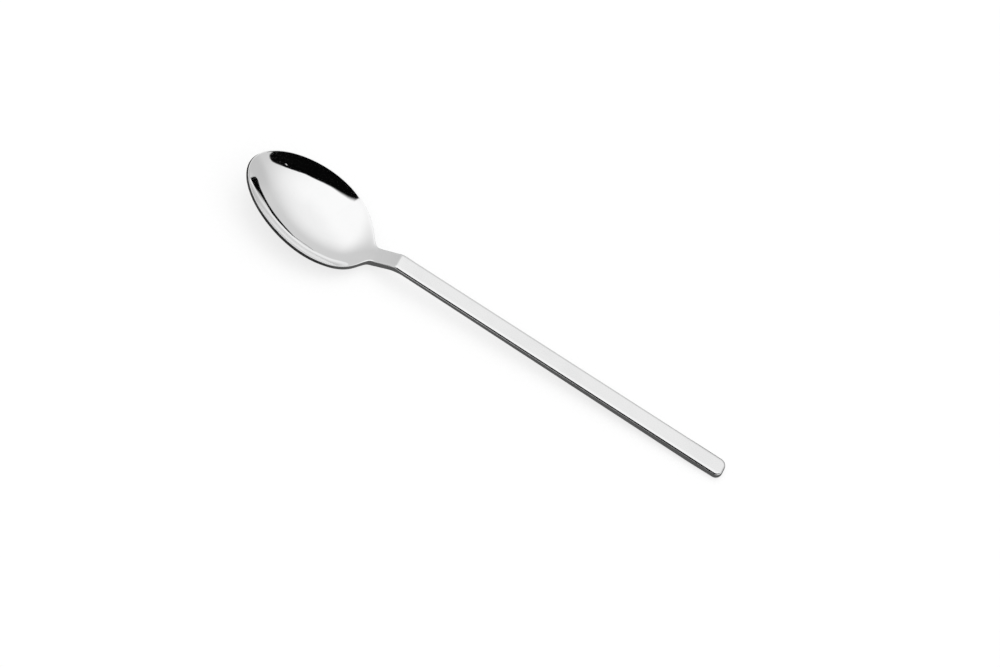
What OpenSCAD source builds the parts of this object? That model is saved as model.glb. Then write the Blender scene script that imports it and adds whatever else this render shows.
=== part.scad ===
// Dessert spoon of polished stainless steel, lying on a table as in use between courses.
// An egg-shaped dished bowl runs into a short neck that rises to a crease, and from the
// crease a slim straight bar slopes gently down to a squared end with rounded corners.
// The spoon is pressed from one strip; it is divided here where its shape changes:
//   bowl    the dished oval with its lip
//   neck    the narrow cranked stretch with the crease on top
//   handle  the flat bar that is held
// Lengths in mm. The tip of the bowl points to -X, the handle to +X, up is +Z.
// The underside of the bowl and the lower edge of the handle's end touch z = 0.

/* [Overall] */
// Length from the tip of the bowl to the end of the handle
overall_length = 185; // [172:1:198]

/* [Bowl] */
// Length of the oval from its tip to its root
bowl_length = 48.4; // [47.4:0.1:49.4]
// Width across the rim at the widest place
bowl_width = 34.1; // [31:0.1:38]
// How far the widest place is moved toward the handle; small values give a plain ellipse
bowl_egg = 0.095; // [0.02:0.005:0.18]
// How flat the middle of the hollow is; 2 is a plain dish
hollow_power = 3; // [2.4:0.1:3.4]
// Height of the rim above the table at the tip
rim_tip_height = 13.8; // [12:0.1:15]
// Height of the rim above the table at the root
rim_root_height = 4.5; // [4.2:0.1:4.8]
// Upright thickness of the lip
lip_thickness = 1.75; // [1.3:0.05:1.9]
// Upright thickness of the metal under the middle of the hollow
floor_thickness = 1.5; // [1.2:0.05:2]

/* [Neck] */
// Width of the neck at its narrowest
neck_width = 6.1; // [5.6:0.1:6.4]
// Upright thickness of the neck
neck_thickness = 2.85; // [2.5:0.05:3]
// Rise of the neck toward the crease, per mm of length
neck_rise = 0.52; // [0.5:0.02:0.62]
// Distance of the crease from the tip of the bowl
crease_at = 58.3; // [57.2:0.1:58.6]

/* [Handle] */
// Width of the bar at the crease
handle_width_near = 6.6; // [6.2:0.1:7]
// Width of the bar at its end
handle_width_end = 7; // [6.6:0.1:7.6]
// Thickness of the bar at the crease
handle_thickness_near = 2.05; // [1.8:0.05:2.3]
// Thickness of the bar at its end
handle_thickness_end = 2.85; // [2.5:0.05:3.2]
// Fall of the bar's top face toward its end, per mm of length
handle_fall = 0.047; // [0.045:0.0005:0.049]
// Radius of the two corners at the end, seen from above
end_corner = 2.5; // [1:0.1:2.6]
// Width of the softened edges along the bar, the neck and the lip
edge_break = 0.45; // [0.3:0.05:0.5]

/* [Hidden] */
// Places along the length, from the tip of the bowl
root_run = 4.5;
bowl_cut = bowl_length + root_run;
bar_from = crease_at + 3.2;
bar_straight = overall_length - 8;
bowl_middle = 0.55 * bowl_length;
half_bowl = bowl_width / 2;
half_neck = neck_width / 2;
half_end = handle_width_end / 2;
crease_height = handle_thickness_end + (overall_length - crease_at) * handle_fall;
under_fall = (crease_height - handle_thickness_near) / (overall_length - crease_at);
// Softness of the change from the hollow to the neck, and of the hollow's edge elsewhere
root_soft = 0.2;
rim_soft = 0.005;
// How far the oval is drawn out where it runs into the neck
root_flare = 0.15;
// How far the hollow reaches past the root of the oval
root_reach = 1.2;
// The lip's side stands square to the plane of the rim, which falls from the tip to the root
rim_lean = (rim_tip_height - rim_root_height) / bowl_length;

function clamp01(v) = min(max(v, 0), 1);
function ease(v) = let (c = clamp01(v)) c * c * (3 - 2 * c);
function near_join(a, b, k) = pow(max(k - abs(a - b), 0), 2) / (4 * k);
function blend_max(a, b, k) = max(a, b) + near_join(a, b, k);
function blend_min(a, b, k) = min(a, b) - near_join(a, b, k);

// The oval: egg() runs from -1 at the tip to 1 at the root, reach() from 0 to 1 at the rim
function egg(s) = let (u = 2 * s / bowl_length - 1) u - bowl_egg * (1 - u * u);
function oval(s) = 1 - egg(s) * egg(s);
function pulled(s) = s - root_reach * ease((s / bowl_length - 0.7) / 0.3);
function reach(s, y) = sqrt(max(1 - oval(pulled(s)) + y * y / (half_bowl * half_bowl), 0));
function soft(s) = rim_soft + root_soft * ease((s / bowl_length - 0.8) / 0.2);
function dish(s, y) = let (h = 1 - pow(reach(s, y), hollow_power), k = soft(s)) (h + sqrt(h * h + k * k)) / 2;
function fade(s) = 1 - ease((s - bowl_length) / (crease_at - 1 - bowl_length));
function hollow(s, y) = s >= crease_at - 1 ? 0 : dish(s, y) * fade(s);

// The rim, the top of the neck and the two faces of the bar, seen from the side
function rim_line(s) = rim_tip_height + (rim_root_height - rim_tip_height) * s / bowl_length;
function bar_top(s) = handle_thickness_end + (overall_length - s) * handle_fall;
function bar_under(s) = (overall_length - s) * under_fall;
function neck_top(s) = crease_height - neck_rise * (crease_at - s);

// The metal thickens from the lip to the neck
function edge_thickness(s) = lip_thickness + (neck_thickness - lip_thickness) * ease((s / bowl_length - 0.77) / 0.3);

// The hollow is as deep as lets the underside of the bowl touch the table
function base_line(s, d) = rim_line(s) + d * soft(s) / 2;
function underside(s, d) = base_line(s, d) - edge_thickness(s) - (d + floor_thickness - lip_thickness) * hollow(s, 0);
function lowest(d) = min([for (s = [0.4 * bowl_length : 0.25 : 0.9 * bowl_length]) underside(s, d)]);
function settle(d, n) = n == 0 ? d : settle(d + lowest(d) / 0.95, n - 1);
depth = settle(8, 8);

function edge_line(s) = s >= crease_at ? bar_top(s) : blend_max(base_line(s, depth), neck_top(s), 1.2);
function top_z(s, y) = edge_line(s) - depth * hollow(s, y);
function dished_under(s, y) = edge_line(s) - edge_thickness(s)
    - (depth + floor_thickness - lip_thickness) * hollow(s, y);
function neck_under(s, y) = s < crease_at ? dished_under(s, y) : neck_top(s) - neck_thickness;
function under_z(s, y) = s < 0.8 * bowl_length ? dished_under(s, y) : blend_min(neck_under(s, y), bar_under(s), 1.2);

// Half the width at a place along the length
function bar_half(s) = handle_width_near / 2
    + (half_end - handle_width_near / 2) * clamp01((s - crease_at) / (bar_straight - crease_at));
function neck_share(s) = half_neck * ease((s / bowl_length - 0.5) / 0.4);
function flare(s) = root_flare * ease((s / bowl_length - 0.6) / 0.3);
function drawn_oval(s) = let (o = oval(s), e = flare(s)) sqrt(max((o + sqrt(o * o + e * e)) / 2, 0));
function oval_half(s) = half_bowl * drawn_oval(s) * (1 - ease((s - bowl_length) / root_run));
function cup_half(s) = pow(pow(oval_half(s), 3) + pow(neck_share(s), 3), 1 / 3);
function half_width(s) = let (f = ease((s - crease_at + 2) / 4)) cup_half(s) * (1 - f) + bar_half(s) * f;

// Outline of the bowl from the cut on the -Y side, round the tip, to the cut on the +Y side
rim_steps = 30;
root_steps = 7;
root_from = bowl_length * (1 - cos(5 * rim_steps)) / 2;
rim_places = concat([for (i = [1 : rim_steps]) bowl_length * (1 - cos(5 * i)) / 2],
    [for (i = [1 : root_steps]) root_from + (bowl_cut - root_from) * i / root_steps]);
sides = len(rim_places);
rim_right = [for (i = [sides - 1 : -1 : 0]) [rim_places[i], -half_width(rim_places[i])]];
rim_left = [for (i = [0 : sides - 1]) [rim_places[i], half_width(rim_places[i])]];
rim = concat(rim_right, [[0, 0]], rim_left);
rims = len(rim);
function outward(i) = i == 0 ? [0, -1] : i == rims - 1 ? [0, 1]
    : let (t = rim[i + 1] - rim[i - 1]) [-t[1], t[0]] / norm(t);
rim_inset = [for (i = [0 : rims - 1]) rim[i] - edge_break * outward(i)];
// Points across the cut, from +Y to -Y, between its two corners
cut_half = half_width(bowl_cut) - edge_break;
across = 6;
cut_points = [for (k = [1 : across - 1]) [bowl_cut, cut_half * (1 - 2 * k / across)]];
outer = concat(rim, cut_points);
inner = concat(rim_inset, cut_points);
columns = len(outer);
ring_shares = [0.16, 0.3, 0.43, 0.55, 0.66, 0.76, 0.85, 0.93, 1];
rings = len(ring_shares);
middle = [bowl_middle, 0];

function leaned(p) = p + [rim_lean * lip_thickness * (1 - ease((p[0] / bowl_length - 0.5) / 0.4)), 0];
function on_top(p) = [p[0], p[1], top_z(p[0], p[1])];
function below(p) = [p[0], p[1], under_z(p[0], p[1])];
function top_ring(g) = [for (p = inner) on_top(middle + g * (leaned(p) - middle))];
function under_ring(g) = [for (p = inner) below(middle + g * (p - middle))];
lip_upper = [for (p = outer) on_top(leaned(p)) - [0, 0, edge_break]];
lip_lower = [for (p = outer) below(p) + [0, 0, edge_break]];
bowl_levels = concat([for (g = ring_shares) top_ring(g)], [lip_upper, lip_lower],
    [for (i = [rings - 1 : -1 : 0]) under_ring(ring_shares[i])]);
levels = len(bowl_levels);
bowl_points = concat([for (level = bowl_levels) for (p = level) p], [on_top(middle), below(middle)]);
function at(k, i) = k * columns + i % columns;
top_fan = [for (i = [0 : columns - 1]) [levels * columns, at(0, i), at(0, i + 1)]];
skin_a = [for (k = [0 : levels - 2]) for (i = [0 : columns - 1]) [at(k, i), at(k + 1, i), at(k + 1, i + 1)]];
skin_b = [for (k = [0 : levels - 2]) for (i = [0 : columns - 1]) [at(k, i), at(k + 1, i + 1), at(k, i + 1)]];
under_fan = [for (i = [0 : columns - 1]) [levels * columns + 1, at(levels - 1, i + 1), at(levels - 1, i)]];

// Sections of the neck from the bowl's cut to the start of the bar
neck_steps = 8;
bend_steps = 6;
neck_places = concat([for (i = [0 : neck_steps]) bowl_cut + (crease_at - bowl_cut) * i / neck_steps],
    [for (i = [1 : bend_steps]) crease_at + (bar_from - crease_at) * i / bend_steps]);
function section(s) = let (w = half_width(s), e = w - edge_break) concat(
    [for (k = [0 : across]) [s, e * (2 * k / across - 1), top_z(s, e * (2 * k / across - 1))]],
    [[s, w, top_z(s, w) - edge_break], [s, w, under_z(s, w) + edge_break]],
    [for (k = [0 : across]) [s, e * (1 - 2 * k / across), under_z(s, e * (1 - 2 * k / across))]],
    [[s, -w, under_z(s, w) + edge_break], [s, -w, top_z(s, w) - edge_break]]);
neck_sections = [for (s = neck_places) section(s)];
places = len(neck_places);
around = len(neck_sections[0]);
function on(j, c) = j * around + c % around;
neck_skin_a = [for (j = [0 : places - 2]) for (c = [0 : around - 1]) [on(j, c), on(j, c + 1), on(j + 1, c + 1)]];
neck_skin_b = [for (j = [0 : places - 2]) for (c = [0 : around - 1]) [on(j, c), on(j + 1, c + 1), on(j + 1, c)]];
// Both end faces of the neck: strips between the upper and the lower row, then the two sides
low = 2 * across + 3;
cap_strips = concat([for (k = [0 : across - 1]) [k, k + 1, low - k - 1]],
    [for (k = [0 : across - 1]) [k, low - k - 1, low - k]]);
cap_sides = [[across, across + 1, across + 2], [across, across + 2, across + 3],
    [low, low + 1, low + 2], [low, low + 2, 0]];
cap = concat(cap_strips, cap_sides);
neck_start = [for (f = cap) [f[0], f[2], f[1]]];
neck_end = [for (f = cap) [for (c = f) on(places - 1, c)]];

// The dished oval: upper face, lip and underside are one skin around a fan at each middle
module bowl() {
    color([0.80, 0.80, 0.81])
    translate([-overall_length / 2, 0, 0])
    polyhedron(points = bowl_points, faces = concat(top_fan, skin_a, skin_b, under_fan), convexity = 6);
}

// The cranked neck: sections strung from the bowl's cut, over the crease, to the bar
module neck() {
    color([0.80, 0.80, 0.81])
    translate([-overall_length / 2, 0, 0])
    polyhedron(points = [for (ring = neck_sections) for (p = ring) p],
        faces = concat(neck_skin_a, neck_skin_b, neck_start, neck_end), convexity = 6);
}

// The bar seen from above, with its two rounded corners
module bar_plan() {
    w = half_width(bar_from);
    polygon([[bar_from, -w], [bar_straight, -half_end], [overall_length - end_corner, -half_end],
        [overall_length - end_corner, half_end], [bar_straight, half_end], [bar_from, w]]);
    translate([overall_length - end_corner - 0.5, end_corner - half_end])
        square([end_corner + 0.5, 2 * (half_end - end_corner)]);
    for (side = [-1, 1])
        translate([overall_length - end_corner, side * (half_end - end_corner)])
            circle(r = end_corner, $fn = 64);
}

// The bar seen from the side, with its end edges broken
module bar_profile() {
    end = overall_length;
    e = edge_break;
    polygon([[bar_from, bar_under(bar_from)], [end - e, bar_under(end - e)], [end, e],
        [end, bar_top(end) - e], [end - e, bar_top(end - e)], [bar_from, bar_top(bar_from)]]);
}

// A long wedge that breaks one long edge: it starts at point p and follows the fall and the taper
module edge_cutter(p, fall, side, turn) {
    reach_mm = overall_length - bar_from;
    taper = atan((half_end - half_width(bar_from)) / (bar_straight - bar_from));
    translate(p)
    rotate([0, atan(fall), side * taper])
    rotate([turn, 0, 0])
    translate([-5, -edge_break / sqrt(2), -3])
        cube([reach_mm + 10, 3, 6]);
}

// The flat bar: plan and side view crossed, then the four long edges broken
module handle() {
    w = half_width(bar_from);
    color([0.80, 0.80, 0.81])
    translate([-overall_length / 2, 0, 0])
    difference() {
        intersection() {
            translate([0, 0, -1])
                linear_extrude(height = crease_height + 2) bar_plan();
            translate([0, half_end + 2, 0])
            rotate([90, 0, 0])
                linear_extrude(height = 2 * half_end + 4) bar_profile();
        }
        edge_cutter([bar_from, w, bar_top(bar_from)], handle_fall, 1, 45);
        edge_cutter([bar_from, -w, bar_top(bar_from)], handle_fall, -1, 135);
        edge_cutter([bar_from, w, bar_under(bar_from)], under_fall, 1, -45);
        edge_cutter([bar_from, -w, bar_under(bar_from)], under_fall, -1, -135);
    }
}

bowl();
neck();
handle();
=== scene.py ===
# %% [markdown]
# # A polished dessert spoon
# This lesson dresses a dessert spoon of stainless steel. The construction, with its real sizes,
# comes in as a fixed frame of three nodes: bowl, neck and handle. Each node is replaced by a finer
# skin of the same size with rounded edges, because polished steel shows every flat facet and every
# sharp corner in its reflections. The box of the frame is kept.

# %% Load the frame
import math
import bpy
import numpy as np
from mathutils import Matrix, Vector


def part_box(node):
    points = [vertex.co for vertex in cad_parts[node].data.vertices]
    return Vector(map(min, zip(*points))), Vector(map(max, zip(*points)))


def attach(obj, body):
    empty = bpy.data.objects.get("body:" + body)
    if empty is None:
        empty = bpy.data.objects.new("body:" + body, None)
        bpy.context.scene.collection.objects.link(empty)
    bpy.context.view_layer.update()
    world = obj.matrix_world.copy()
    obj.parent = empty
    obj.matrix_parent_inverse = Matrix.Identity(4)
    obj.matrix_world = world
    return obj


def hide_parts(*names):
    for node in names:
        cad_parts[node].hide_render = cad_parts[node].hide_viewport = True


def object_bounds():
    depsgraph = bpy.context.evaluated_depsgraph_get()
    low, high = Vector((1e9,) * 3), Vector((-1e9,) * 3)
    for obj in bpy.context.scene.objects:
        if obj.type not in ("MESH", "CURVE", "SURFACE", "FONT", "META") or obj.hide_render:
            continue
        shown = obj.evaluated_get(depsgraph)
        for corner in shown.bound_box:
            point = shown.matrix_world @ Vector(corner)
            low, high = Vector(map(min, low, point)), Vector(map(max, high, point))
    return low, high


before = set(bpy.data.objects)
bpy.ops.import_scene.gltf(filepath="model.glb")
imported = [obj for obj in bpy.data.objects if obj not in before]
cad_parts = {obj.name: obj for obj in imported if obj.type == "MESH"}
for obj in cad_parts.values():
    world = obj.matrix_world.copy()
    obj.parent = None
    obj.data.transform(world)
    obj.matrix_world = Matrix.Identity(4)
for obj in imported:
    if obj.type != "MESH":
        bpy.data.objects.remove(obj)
cad_low, cad_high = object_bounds()
MM = 0.001


def box_size(low, high):
    return [round(v / MM, 2) for v in high - low]


print("frame nodes:", sorted(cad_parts))
print("frame box in mm:", box_size(cad_low, cad_high))

# %% [markdown]
# ## Sizes
# A spoon is drawn along its length, so every place is a distance in millimetres from the tip of
# the bowl. The length and the two places where the pieces meet are read from the frame. The other
# sizes are those of the real spoon: an egg-shaped bowl, a neck that climbs to a crease, and a slim
# bar whose top and underside fall at slightly different rates to the end.

# %% Sizes along the spoon
tip_x = cad_low.x / MM
length = (cad_high.x - cad_low.x) / MM
bowl_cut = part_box("bowl")[1].x / MM - tip_x
bar_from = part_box("handle")[0].x / MM - tip_x
bowl_length, bowl_width, bowl_egg = 48.4, 34.1, 0.095
root_run, root_flare, root_reach = bowl_cut - bowl_length, 0.15, 1.2
hollow_power = 3.0
rim_tip_height, rim_root_height = 13.8, 4.5
lip_thickness, floor_thickness = 1.75, 1.5
neck_width, neck_thickness, neck_rise = 6.1, 2.85, 0.52
crease_at = 58.3
bar_width_near, bar_width_end = 6.6, 7.0
bar_thickness_near, bar_thickness_end = 2.05, 2.85
bar_fall = 0.047
end_stretch, end_corner = 8.0, 2.5
bar_straight = length - end_stretch
half_bowl, half_neck, half_end = bowl_width / 2, neck_width / 2, bar_width_end / 2
crease_height = bar_thickness_end + (length - crease_at) * bar_fall
under_fall = (crease_height - bar_thickness_near) / (length - crease_at)
print("length", round(length, 2), "bowl to", round(bowl_cut, 2), "bar from", round(bar_from, 2), "mm")

# %% [markdown]
# ## Soft joins
# Where one line of the spoon runs into another, the metal bends in a small radius. Two helpers
# give that: a soft step, and a maximum or minimum of two heights whose corner is rounded over a
# chosen height. They keep the slope steady, so that a reflection runs across without a break.

# %% Helpers for soft joins
def ease(v):
    c = np.clip(v, 0.0, 1.0)
    return c * c * (3.0 - 2.0 * c)


def near_join(a, b, k):
    return np.maximum(k - np.abs(a - b), 0.0) ** 2 / (4.0 * k)


def blend_max(a, b, k):
    return np.maximum(a, b) + near_join(a, b, k)


def blend_min(a, b, k):
    return np.minimum(a, b) - near_join(a, b, k)


print("a join of 1 and 1 over 0.4:", blend_max(1.0, 1.0, 0.4), blend_min(1.0, 1.0, 0.4))

# %% [markdown]
# ## The hollow of the bowl
# The bowl is pressed into the strip, so its hollow is one smooth dish. A formula gives it: a
# measure that is 0 at the middle and 1 all along the egg-shaped rim, and a power of it for the
# depth. A power above 2 keeps the middle flat and the wall steep, as in a real spoon. At the root
# the dish is pulled a little way past the oval, and then it fades out in the neck.

# %% The dish formula
ROOT_SOFT, RIM_SOFT = 0.2, 0.005
SOFTENS, PULLED = (0.8, 0.2), (0.7, 0.3)
FADED_BEFORE_CREASE, TINY = 1.0, 1e-12
WIDEST_AT = 27.0


def along_bowl(s, start, run):
    """A soft step that starts at one share of the bowl's length and takes another to finish."""
    return ease((s / bowl_length - start) / run)


def egg(s):
    u = 2.0 * s / bowl_length - 1.0
    return u - bowl_egg * (1.0 - u * u)


def soft(s):
    return RIM_SOFT + ROOT_SOFT * along_bowl(s, *SOFTENS)


def hollow(s, y):
    pulled = s - root_reach * along_bowl(s, *PULLED)
    reach = np.sqrt(np.maximum(egg(pulled) ** 2 + (y / half_bowl) ** 2, TINY))
    rest = 1.0 - reach**hollow_power
    dish = (rest + np.sqrt(rest * rest + soft(s) ** 2)) / 2.0
    fade = 1.0 - ease((s - bowl_length) / (crease_at - FADED_BEFORE_CREASE - bowl_length))
    return dish * fade


for side in (0.0, half_bowl):
    print("hollow", side, "mm from the middle line:", round(float(hollow(WIDEST_AT, side)), 3))

# %% [markdown]
# ## The lines seen from the side
# Seen from the side, the rim falls from the tip to the root, the neck climbs to the crease, and the
# bar falls to its end. The neck is thicker than the lip, so the thickness grows along the root. The
# depth of the hollow isn't chosen: it is found, so that the underside of the bowl just touches the
# table. The crease on top gets a small radius, because a pressed bend is crisp but never a knife edge.

# %% Side lines and the depth of the hollow
CREASE_ROUND = 0.35
THICKENS = (0.77, 0.3)
SETTLE_FROM, SETTLE_TO, SETTLE_STEP, SETTLE_RATE = 0.4, 0.9, 0.005, 0.95


def rim_line(s):
    return rim_tip_height + (rim_root_height - rim_tip_height) * s / bowl_length


def base_line(s, deep):
    return rim_line(s) + deep * soft(s) / 2.0


def bar_top(s):
    return bar_thickness_end + (length - s) * bar_fall


def bar_under(s):
    return (length - s) * under_fall


def edge_thickness(s):
    return lip_thickness + (neck_thickness - lip_thickness) * along_bowl(s, *THICKENS)


def settle(deep, rounds=8):
    s = np.arange(SETTLE_FROM, SETTLE_TO, SETTLE_STEP) * bowl_length
    for _ in range(rounds):
        shell = edge_thickness(s) + (deep + floor_thickness - lip_thickness) * hollow(s, 0.0)
        deep = deep + (base_line(s, deep) - shell).min() / SETTLE_RATE
    return deep


depth = settle(deep=8.0)
print("depth of the hollow:", round(float(depth), 3), "mm")

# %% [markdown]
# ## Upper face, underside and width
# Three functions hold the whole shape: the height of the upper face, the height of the underside,
# and half the width at a place along the length. The oval of the bowl doesn't stop at its root: it
# is drawn out into the neck in a soft curve, as pressed metal flows.

# %% The three shape functions
BEND_ROUND, SHELL_ALONE, JOIN_POWER, CREASE_RUN = 1.2, 0.8, 3, 4.0
FLARES, NECK_BEGINS = (0.6, 0.3), (0.5, 0.4)


def cup_line(s):
    climb = crease_height - neck_rise * (crease_at - s)
    return blend_max(base_line(s, depth), climb, BEND_ROUND)


def edge_line(s):
    return np.where(s < bowl_length, cup_line(s), blend_min(cup_line(s), bar_top(s), CREASE_ROUND))


def top_z(s, y):
    return edge_line(s) - depth * hollow(s, y)


def under_z(s, y):
    shell = cup_line(s) - edge_thickness(s) - (depth + floor_thickness - lip_thickness) * hollow(s, y)
    return np.where(s < SHELL_ALONE * bowl_length, shell, blend_min(shell, bar_under(s), BEND_ROUND))


def half_width(s):
    along = np.clip((s - crease_at) / (bar_straight - crease_at), 0.0, 1.0)
    bar = bar_width_near / 2 + (half_end - bar_width_near / 2) * along
    inside = 1.0 - egg(s) ** 2
    flare = root_flare * along_bowl(s, *FLARES)
    drawn = np.sqrt(np.maximum((inside + np.sqrt(inside**2 + flare**2)) / 2.0, 0.0))
    oval = half_bowl * drawn * (1.0 - ease((s - bowl_length) / root_run))
    root = half_neck * along_bowl(s, *NECK_BEGINS)
    cup = (oval**JOIN_POWER + root**JOIN_POWER) ** (1.0 / JOIN_POWER)
    change = ease((s - crease_at + CREASE_RUN / 2) / CREASE_RUN)
    return cup * (1.0 - change) + bar * change


for part, s in (("bowl", WIDEST_AT), ("neck", 54.0), ("bar", 150.0)):
    print("width of the", part, "at", s, "mm:", round(2 * float(half_width(np.array(s))), 2), "mm")

# %% [markdown]
# ## Rounded edges
# The edges of a pressed spoon are ground and buffed round. Along the bowl the lip is a thin bead,
# and along the bar the upper edges are wide and soft. At the squared end the upper edge turns over
# faster and deeper, and the lower edge grows rounder over the last stretch. A bevel modifier could
# round edges too, but its width couldn't change along the spoon.

# %% How far each edge is rounded
LIP_ROUND_UPPER, LIP_ROUND_SIDE, LIP_ROUND_LOWER = 0.45, 0.28, 0.45
BAR_ROUND_UPPER, BAR_ROUND_SIDE, BAR_ROUND_LOWER = 1.3, 1.04, 0.6
END_ROUND_UPPER, END_ROUND_SIDE, END_ROUND_LOWER = 1.0, 1.6, 1.2
END_CHANGE_UPPER, END_CHANGE_LOWER = 1.6, 13.0
CHANGE_MARGIN = 3.0


def from_lip_to_bar(s, lip, bar):
    """A size that has one value along the lip and another along the bar."""
    run = crease_at + 2 * CHANGE_MARGIN - bowl_length
    return lip + (bar - lip) * ease((s - bowl_length + CHANGE_MARGIN) / run)


def to_end(s, along, end, run):
    """A size that changes over a run before the squared end to its value there."""
    return along + (end - along) * ease((s - length + run) / run)


def upper_round(s):
    along = from_lip_to_bar(s, LIP_ROUND_UPPER, BAR_ROUND_UPPER)
    return to_end(s, along, END_ROUND_UPPER, END_CHANGE_UPPER)


def side_round(s):
    along = from_lip_to_bar(s, LIP_ROUND_SIDE, BAR_ROUND_SIDE)
    return to_end(s, along, END_ROUND_SIDE, END_CHANGE_UPPER)


def lower_round(s):
    along = from_lip_to_bar(s, LIP_ROUND_LOWER, BAR_ROUND_LOWER)
    return to_end(s, along, END_ROUND_LOWER, END_CHANGE_LOWER)


for part, s in (("lip", WIDEST_AT), ("bar", 150.0), ("end", length)):
    print("upper edge of the", part, "is rounded by", round(float(upper_round(s)), 2), "mm")

# %% [markdown]
# Each edge is drawn as a short curve from the face to the side, with the slope of the face at its
# start, so that the face runs into it without a line. The lip's side stands square to the plane of
# the rim, so toward the tip its upper edge is set back.

# %% One column of points down the edge
LIP_STEPS = 8
STEP = 0.01


def corner(place, out, width, height, drop):
    """Start, corner and end of the curve that rounds one edge."""
    inner = place - width[:, None] * out
    ahead, behind = inner + STEP * out, inner - STEP * out
    slope = (height(*ahead.T) - height(*behind.T)) / (2 * STEP)
    start = np.column_stack([inner, height(*inner.T)])
    middle = np.column_stack([place, start[:, 2] + width * slope])
    return start, middle, middle - np.outer(drop, (0, 0, 1))


def bend(curve, t):
    a, b, c = curve
    return (1 - t) ** 2 * a + 2 * t * (1 - t) * b + t * t * c


def set_back(s):
    lean = (rim_tip_height - rim_root_height) / bowl_length
    return lean * lip_thickness * (1.0 - along_bowl(s, *NECK_BEGINS))


def edge_column(place, out):
    """Points from the upper face, round the edge and down to the underside, for many places at once."""
    s = place[:, 0]
    high = place + np.column_stack([set_back(s), np.zeros_like(s)])
    upper = corner(high, out, upper_round(s), top_z, side_round(s))
    lower = corner(place, out, lower_round(s), under_z, -lower_round(s))
    steps = np.linspace(0, 1, LIP_STEPS + 1)
    return np.array([bend(upper, t) for t in steps] + [bend(lower, t) for t in steps[::-1]])


widest = np.array([[WIDEST_AT, float(half_width(np.array(WIDEST_AT)))]])
lip_z = edge_column(widest, np.array([[0.0, 1.0]]))[:, 0, 2]
print(len(lip_z), "points down the lip, from", lip_z[0].round(2), "to", lip_z[-1].round(2), "mm high")

# %% [markdown]
# ## Normals by calculation
# Steel this bright is a mirror, so the direction in which each point faces matters more than the
# point itself. Blender can average the faces around a point, but at the cut between two pieces it
# sees only one side, and a faint line would show. Here the directions come from the formulas, so
# that both pieces face the same way along the cut.

# %% Directions of faces and edges
def unit(v):
    return v / np.linalg.norm(v, axis=-1, keepdims=True)


def face_normals(points, height, up):
    """Directions on the upper face (up = 1) or the underside (up = -1)."""
    s, y = points[..., 0], points[..., 1]
    along = (height(s + STEP, y) - height(s - STEP, y)) / (2 * STEP)
    across = (height(s, y + STEP) - height(s, y - STEP)) / (2 * STEP)
    return unit(up * np.stack([-along, -across, np.ones_like(along)], -1))


def outline_frame(outline, u, nudge=1e-4):
    """Places on an outline, which has the metal on its right, and the outward direction there."""
    ahead, behind = outline(u + nudge), outline(u - nudge)
    t = unit(ahead - behind)
    return outline(u), np.column_stack([-t[:, 1], t[:, 0]])


def edge_grid(outline, u, nudge=1e-3):
    """Points and directions of the whole rounded edge along an outline."""
    points = edge_column(*outline_frame(outline, u))
    ahead = edge_column(*outline_frame(outline, u + nudge))
    behind = edge_column(*outline_frame(outline, u - nudge))
    down = np.gradient(points, axis=0)
    return points, unit(np.cross(ahead - behind, down))


print("a flat face looks", face_normals(np.array([[120.0, 0.0, 0.0]]), top_z, 1)[0].round(3))

# %% [markdown]
# ## From grids to one closed skin
# Every piece is a few grids of points: upper face, edges, underside and the cut faces. Each point
# also carries a number that is 1 on the edges and 0 on the faces, for the finish to use later.

# %% Grids on faces, edges and cuts
EDGE_SPREAD = 1.6


def on_face(points, height, up):
    """A grid on a face: its points, directions and edge number."""
    placed = np.concatenate([points, height(points[..., 0], points[..., 1])[..., None]], -1)
    return placed, face_normals(placed, height, up), np.zeros(points.shape[:-1])


def on_edge(points, normals):
    """A grid round an edge, with the edge number highest where the curve is tightest."""
    level = np.linspace(0, 1, len(points))
    number = np.minimum(1.0, 4.0 * level * (1.0 - level) * EDGE_SPREAD)
    return points, normals, np.repeat(number[:, None], points.shape[1], 1)


def on_cut(upper, lower):
    """A hidden grid between two rows of a cut face."""
    points = np.array([upper, lower])
    return points, np.tile((1.0, 0.0, 0.0), points.shape[:2] + (1,)), np.zeros(points.shape[:2])


print("edge numbers down an edge:", on_edge(np.zeros((5, 1, 3)), None)[2].ravel())

# %% [markdown]
# Points that lie in the same place are welded, so that the grids become one closed piece. Two
# points are the same where they fall in the same tiny cell. The cells are shifted a little, so that
# round numbers don't lie on the border between two of them.

# %% Weld grids into a piece
WELD_CELLS, WELD_OFFSET = 1e4, 0.37


def square_faces(index):
    """The four corners of every square in a grid of point numbers."""
    around = [index[:-1, :-1], index[1:, :-1], index[1:, 1:], index[:-1, 1:]]
    return np.stack(around, -1).reshape(-1, 4).tolist()


def weld(name, grids):
    """One closed piece from grids whose borders lie on each other."""
    points = np.concatenate([g[0].reshape(-1, 3) for g in grids])
    normals = np.concatenate([g[1].reshape(-1, 3) for g in grids])
    number = np.concatenate([g[2].ravel() for g in grids])
    key = np.floor(points * WELD_CELLS + WELD_OFFSET).astype(np.int64)
    _, first, same = np.unique(key, axis=0, return_index=True, return_inverse=True)
    same = same.ravel()
    faces, base = [], 0
    for grid, _, _ in grids:
        rows, columns = grid.shape[:2]
        index = same[base : base + rows * columns].reshape(rows, columns)
        base += rows * columns
        faces += [list(dict.fromkeys(square)) for square in square_faces(index)]
    faces = [f for f in faces if len(f) > 2]
    placed = (points[first] + (tip_x, 0.0, 0.0)) * MM
    return make_piece(name, placed, normals[first], number[first], faces)


# %% [markdown]
# The welded points become a mesh. The faces are turned outward, shaded smooth, and given the
# calculated directions. The edge number is kept as a named attribute on the points.

# %% Make the mesh
import bmesh


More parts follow.
